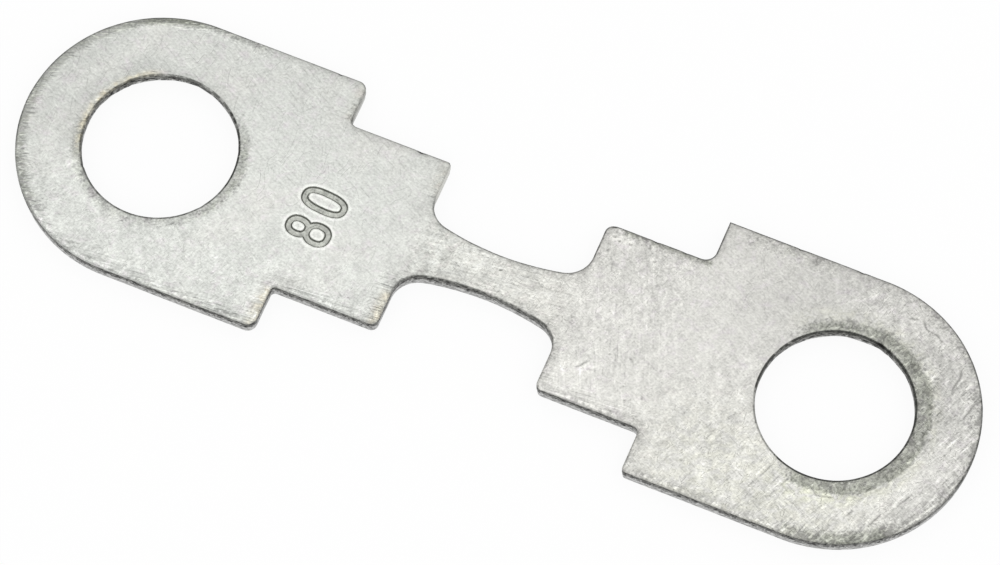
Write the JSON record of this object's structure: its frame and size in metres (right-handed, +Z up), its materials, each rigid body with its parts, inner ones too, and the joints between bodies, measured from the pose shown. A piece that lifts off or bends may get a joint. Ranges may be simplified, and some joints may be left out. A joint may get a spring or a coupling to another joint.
{
  "type": "strip fuse",
  "caption": "Flat bolt-down strip fuse in stamped zinc: round lugs with stud holes, a stepped waist and an hourglass link between them.",
  "frame": {"origin": "under the middle of the strip, halfway between the two stud holes, on the plane it lies on", "axes": "+X along the strip from the marked lug to the plain one, +Y across the strip, +Z up through its thickness"},
  "size_m": [0.042, 0.012, 0.0008],
  "materials": {
    "zinc_strip": "matte rolled zinc with sheared edges"
  },
  "bodies": {
    "root": {"fuse_strip": "zinc_strip"}
  },
  "joints": []
}
